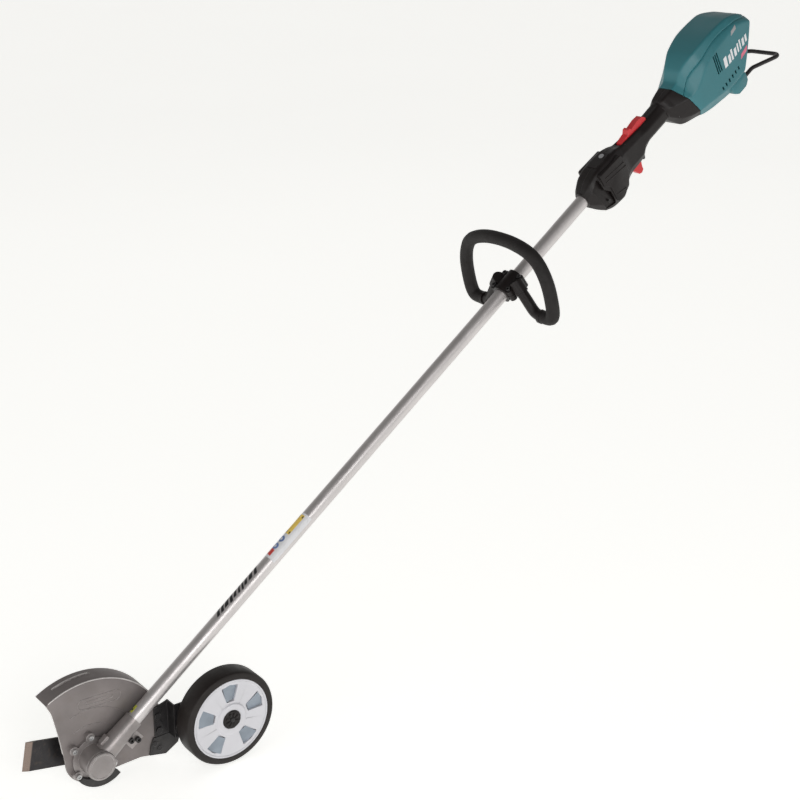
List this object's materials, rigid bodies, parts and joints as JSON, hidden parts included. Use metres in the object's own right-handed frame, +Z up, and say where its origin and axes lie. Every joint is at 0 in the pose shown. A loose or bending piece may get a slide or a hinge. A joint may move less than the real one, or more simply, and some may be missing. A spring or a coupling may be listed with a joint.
{
  "type": "lawn edger",
  "caption": "Cordless lawn edger: guarded bar blade and depth wheel below a long straight pipe, loop handle, rear grip with trigger and lock-off, and a motor housing with a battery bay.",
  "frame": {"origin": "on the ground plane under the middle of the bounding box", "axes": "+Z up, +Y back along the pipe towards the operator and the motor housing, +X to the operator's left, the side with the depth wheel"},
  "size_m": [0.2486, 1.6341, 1.1587],
  "materials": {
    "guard_metal": "satin, die-cast and pressed grey metal",
    "polished_aluminium": "drawn tube, brushed along its length",
    "black_steel": "black coated steel",
    "zinc_steel": "zinc plated",
    "blade_steel": "dark rolled steel with a ground edge",
    "gear_steel": "machined steel",
    "bearing_steel": "ground steel",
    "black_plastic": "fine textured",
    "black_rubber": "matte",
    "tyre_rubber": "matte moulded",
    "white_plastic": "moulded, semi-gloss",
    "red_plastic": "moulded, semi-gloss",
    "teal_plastic": "moulded, satin",
    "grey_plastic": "moulded button",
    "copper_steel": "laminations and windings",
    "bronze": "sintered",
    "circuit_board": "potted board"
  },
  "bodies": {
    "frame": {"arm_pivot_bolt": "zinc_steel", "battery_bay": "black_plastic", "battery_terminals": "black_plastic", "blade_guard": "guard_metal", "bracket_bolts": "black_steel", "control_panel": "black_plastic", "debris_flap": "black_rubber", "depth_clamp_bolt": "zinc_steel", "drive_shaft_bushings": "bronze", "flap_rivets": "zinc_steel", "gear_case": "guard_metal", "gear_case_cap": "guard_metal", "guard_lower_lip": "black_rubber", "guard_screws": "zinc_steel", "handle_housing_left": "black_plastic", "handle_housing_right": "black_plastic", "housing_screws": "black_steel", "lever_pins": "gear_steel", "main_pipe": "polished_aluminium", "motor_bearings": "bearing_steel", "motor_controller": "circuit_board", "motor_housing_left": "teal_plastic", "motor_housing_right": "teal_plastic", "motor_stator": "copper_steel", "motor_top_cover": "teal_plastic", "neck_clamp_bolts": "black_steel", "pinion_bearings": "bearing_steel", "rear_guard_wire": "black_steel", "spindle_bearings": "bearing_steel", "spindle_seal": "black_rubber", "trigger_spring": "gear_steel", "trigger_switch": "black_plastic", "wheel_bracket": "black_steel"},
    "blade_line": {"bevel_gear": "gear_steel", "output_spindle": "gear_steel", "blade_inner_washer": "gear_steel", "blade": "blade_steel", "blade_outer_washer": "gear_steel", "blade_nut": "zinc_steel"},
    "drive_line": {"bevel_pinion": "gear_steel", "drive_shaft": "gear_steel", "shaft_coupling": "gear_steel", "motor_rotor": "copper_steel", "motor_fan": "black_plastic"},
    "depth_arm": {"wheel_arm": "black_steel", "wheel_axle": "zinc_steel", "axle_nut": "zinc_steel"},
    "wheel": {"wheel_hub": "white_plastic", "wheel_tyre": "tyre_rubber", "wheel_bushings": "bronze", "wheel_centre_cap": "black_plastic"},
    "clamp_knob": {"depth_clamp_knob": "black_plastic"},
    "loop_handle": {"loop_handle_core": "gear_steel", "loop_handle_grip": "black_rubber", "handle_clamp_upper": "black_plastic", "handle_clamp_lower": "black_plastic", "handle_clamp_screws": "black_steel"},
    "trigger_lever": {"trigger": "red_plastic"},
    "lock_off": {"lock_off_lever": "red_plastic"},
    "power_key": {"power_button": "grey_plastic"}
  },
  "joints": [
    {"name": "blade_spin", "type": "hinge", "parent": "frame", "child": "blade_line", "pos_m": [0, -0.7111, 0.0596], "axis": [1, 0, 0], "continuous": true},
    {"name": "drive_spin", "type": "hinge", "parent": "frame", "child": "drive_line", "pos_m": [0, -0.7111, 0.0596], "axis": [0, 0.8002, 0.5997], "continuous": true},
    {"name": "depth_swing", "type": "hinge", "parent": "frame", "child": "depth_arm", "pos_m": [0, -0.5581, 0.0676], "axis": [1, 0, 0], "range_deg": [-11, 11]},
    {"name": "wheel_spin", "type": "hinge", "parent": "depth_arm", "child": "wheel", "pos_m": [0, -0.4921, 0.0836], "axis": [1, 0, 0], "continuous": true},
    {"name": "depth_knob_turn", "type": "hinge", "parent": "frame", "child": "clamp_knob", "pos_m": [0, -0.53264, 0.09306], "axis": [1, 0, 0], "range_deg": [-180, 180]},
    {"name": "handle_slide", "type": "slide", "parent": "frame", "child": "loop_handle", "axis": [0, 0.8002, 0.5997], "range_m": [-0.06, 0.06]},
    {"name": "trigger_pull", "type": "hinge", "parent": "frame", "child": "trigger_lever", "pos_m": [0, 0.44399, 0.8928], "axis": [1, 0, 0], "range_deg": [0, 8], "stiffness_Nm_per_rad": 0.5, "springref_deg": -8.59},
    {"name": "lock_off_press", "type": "hinge", "parent": "frame", "child": "lock_off", "pos_m": [0, 0.4241, 0.93601], "axis": [1, 0, 0], "range_deg": [-3.2, 0], "stiffness_Nm_per_rad": 0.5, "springref_deg": 8.59},
    {"name": "power_press", "type": "slide", "parent": "frame", "child": "power_key", "axis": [0, 0.5997, -0.8002], "range_m": [0, 0.001], "stiffness_N_per_m": 400, "springref_m": -0.0005}
  ],
  "couplings": [
    {"joint": "drive_spin", "follows": "blade_spin", "ratio": 1.6667}
  ]
}
